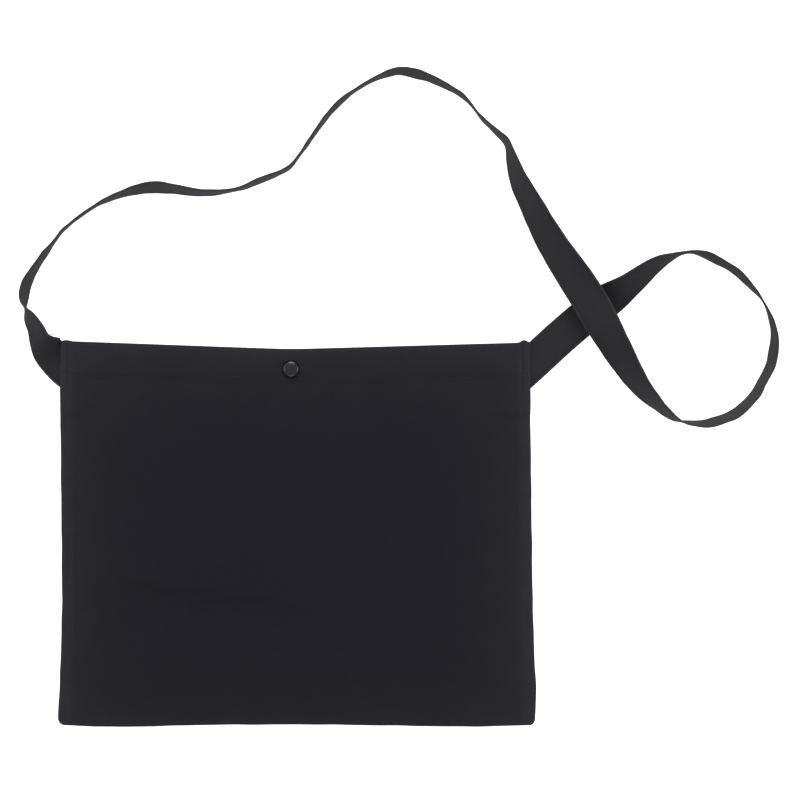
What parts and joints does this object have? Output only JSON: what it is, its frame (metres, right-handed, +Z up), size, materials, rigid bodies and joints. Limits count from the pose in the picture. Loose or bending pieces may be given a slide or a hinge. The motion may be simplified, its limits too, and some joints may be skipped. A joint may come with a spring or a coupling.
{
  "type": "cycling musette bag",
  "caption": "Thin flat cotton shoulder bag lying on its back, with a fastened snap at its open mouth and a long flat strap looped beside it.",
  "frame": {"origin": "middle of the bag, on the face of the back panel that it rests on", "axes": "+Z up from the surface it lies on, +Y from the base to the mouth, +X to the right seen from above"},
  "size_m": [0.6354, 0.5547, 0.03],
  "materials": {
    "panel_cloth": "black plain-weave cotton",
    "strap_cloth": "black folded cotton tape, stitched along both edges",
    "snap_finish": "black enamel, softly glossy",
    "snap_inner": "black enamelled brass"
  },
  "bodies": {
    "root": {"front_panel": "panel_cloth", "back_panel": "panel_cloth", "strap": "strap_cloth", "snap_cap": "snap_finish", "snap_socket": "snap_inner", "snap_stud": "snap_inner", "snap_back_cap": "snap_finish"}
  },
  "joints": []
}
